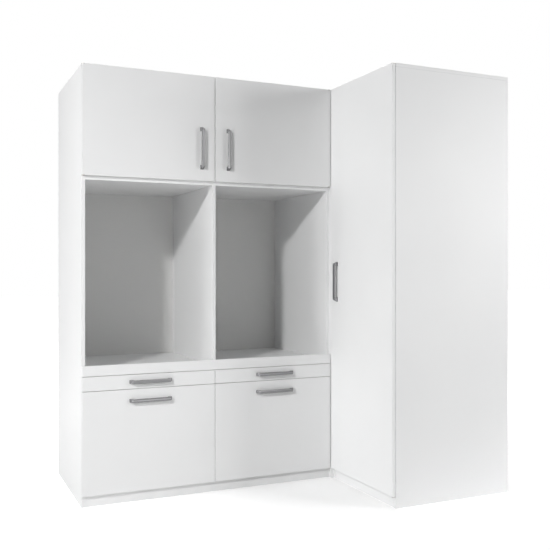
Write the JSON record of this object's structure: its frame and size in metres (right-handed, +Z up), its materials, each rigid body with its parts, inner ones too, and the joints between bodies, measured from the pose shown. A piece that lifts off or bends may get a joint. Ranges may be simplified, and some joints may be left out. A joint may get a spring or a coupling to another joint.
{
  "type": "washing machine cabinet",
  "caption": "White laundry cabinet with open machine bays, hinged cupboards above, pull-out trays and drawers below, and a tall cupboard at the corner.",
  "frame": {"origin": "middle of the footprint's box, on the floor", "axes": "+Z up, +Y back from the main unit's fronts to the wall, +X along the main unit to the tall cupboard"},
  "size_m": [2.065, 1.34, 2.15],
  "materials": {
    "white_board": "particle board with a smooth satin white melamine face and edging",
    "back_board": "thin fibreboard with a matt white face",
    "handle_metal": "satin brushed nickel look",
    "runner_steel": "bright zinc-plated folded sheet",
    "fitting_steel": "nickel-plated steel",
    "catch_plastic": "white moulded plastic",
    "pad_rubber": "soft translucent buffer"
  },
  "bodies": {
    "carcass": {"left_side_panel": "white_board", "right_side_panel": "white_board", "centre_divider": "white_board", "top_panel": "white_board", "cupboard_floors": "white_board", "machine_shelves": "white_board", "base_panels": "white_board", "plinth_board": "white_board", "front_rail": "white_board", "cupboard_shelves": "white_board", "tall_near_side": "white_board", "tall_far_side": "white_board", "tall_top_panel": "white_board", "tall_base_panel": "white_board", "tall_plinth_board": "white_board", "tall_shelves": "white_board", "corner_filler": "white_board", "corner_cleat": "white_board", "back_panels": "back_board", "tall_back_panel": "back_board", "cabinet_runners": "runner_steel", "wall_brackets": "runner_steel", "shelf_pins": "fitting_steel", "pivot_plates": "fitting_steel", "magnet_catches": "catch_plastic", "bumper_pads": "pad_rubber"},
    "upper_left_leaf": {"upper_left_door": "white_board", "upper_left_handle": "handle_metal", "upper_left_door_fittings": "fitting_steel"},
    "upper_right_leaf": {"upper_right_door": "white_board", "upper_right_handle": "handle_metal", "upper_right_door_fittings": "fitting_steel"},
    "tall_leaf": {"tall_door": "white_board", "tall_handle": "handle_metal", "tall_door_fittings": "fitting_steel"},
    "left_tray": {"left_tray_front": "white_board", "left_tray_handle": "handle_metal", "left_tray_board": "white_board", "left_tray_runners": "runner_steel"},
    "left_tray_middle_member": {"left_tray_middle_runners": "runner_steel"},
    "left_drawer": {"left_drawer_front": "white_board", "left_drawer_handle": "handle_metal", "left_drawer_sides": "white_board", "left_drawer_back": "white_board", "left_drawer_bottom": "back_board", "left_drawer_runners": "runner_steel"},
    "left_drawer_middle_member": {"left_drawer_middle_runners": "runner_steel"},
    "right_tray": {"right_tray_front": "white_board", "right_tray_handle": "handle_metal", "right_tray_board": "white_board", "right_tray_runners": "runner_steel"},
    "right_tray_middle_member": {"right_tray_middle_runners": "runner_steel"},
    "right_drawer": {"right_drawer_front": "white_board", "right_drawer_handle": "handle_metal", "right_drawer_sides": "white_board", "right_drawer_back": "white_board", "right_drawer_bottom": "back_board", "right_drawer_runners": "runner_steel"},
    "right_drawer_middle_member": {"right_drawer_middle_runners": "runner_steel"}
  },
  "joints": [
    {"name": "upper_left_hinge", "type": "hinge", "parent": "carcass", "child": "upper_left_leaf", "pos_m": [-1.0255, -0.044, 1.609], "axis": [0, 0, -1], "range_deg": [0, 110]},
    {"name": "upper_right_hinge", "type": "hinge", "parent": "carcass", "child": "upper_right_leaf", "pos_m": [0.3185, -0.044, 1.609], "axis": [0, 0, 1], "range_deg": [0, 86]},
    {"name": "tall_hinge", "type": "hinge", "parent": "carcass", "child": "tall_leaf", "pos_m": [0.3335, -0.663, 0.055], "axis": [0, 0, -1], "range_deg": [-110, 0]},
    {"name": "left_tray_slide", "type": "slide", "parent": "carcass", "child": "left_tray", "axis": [0, -1, 0], "range_m": [0, 0.5]},
    {"name": "left_tray_middle_member_slide", "type": "slide", "parent": "carcass", "child": "left_tray_middle_member", "axis": [0, -1, 0], "range_m": [0, 0.25]},
    {"name": "left_drawer_slide", "type": "slide", "parent": "carcass", "child": "left_drawer", "axis": [0, -1, 0], "range_m": [0, 0.5]},
    {"name": "left_drawer_middle_member_slide", "type": "slide", "parent": "carcass", "child": "left_drawer_middle_member", "axis": [0, -1, 0], "range_m": [0, 0.25]},
    {"name": "right_tray_slide", "type": "slide", "parent": "carcass", "child": "right_tray", "axis": [0, -1, 0], "range_m": [0, 0.5]},
    {"name": "right_tray_middle_member_slide", "type": "slide", "parent": "carcass", "child": "right_tray_middle_member", "axis": [0, -1, 0], "range_m": [0, 0.25]},
    {"name": "right_drawer_slide", "type": "slide", "parent": "carcass", "child": "right_drawer", "axis": [0, -1, 0], "range_m": [0, 0.5]},
    {"name": "right_drawer_middle_member_slide", "type": "slide", "parent": "carcass", "child": "right_drawer_middle_member", "axis": [0, -1, 0], "range_m": [0, 0.25]}
  ],
  "couplings": [
    {"joint": "left_tray_middle_member_slide", "follows": "left_tray_slide", "ratio": 0.5},
    {"joint": "left_drawer_middle_member_slide", "follows": "left_drawer_slide", "ratio": 0.5},
    {"joint": "right_tray_middle_member_slide", "follows": "right_tray_slide", "ratio": 0.5},
    {"joint": "right_drawer_middle_member_slide", "follows": "right_drawer_slide", "ratio": 0.5}
  ]
}
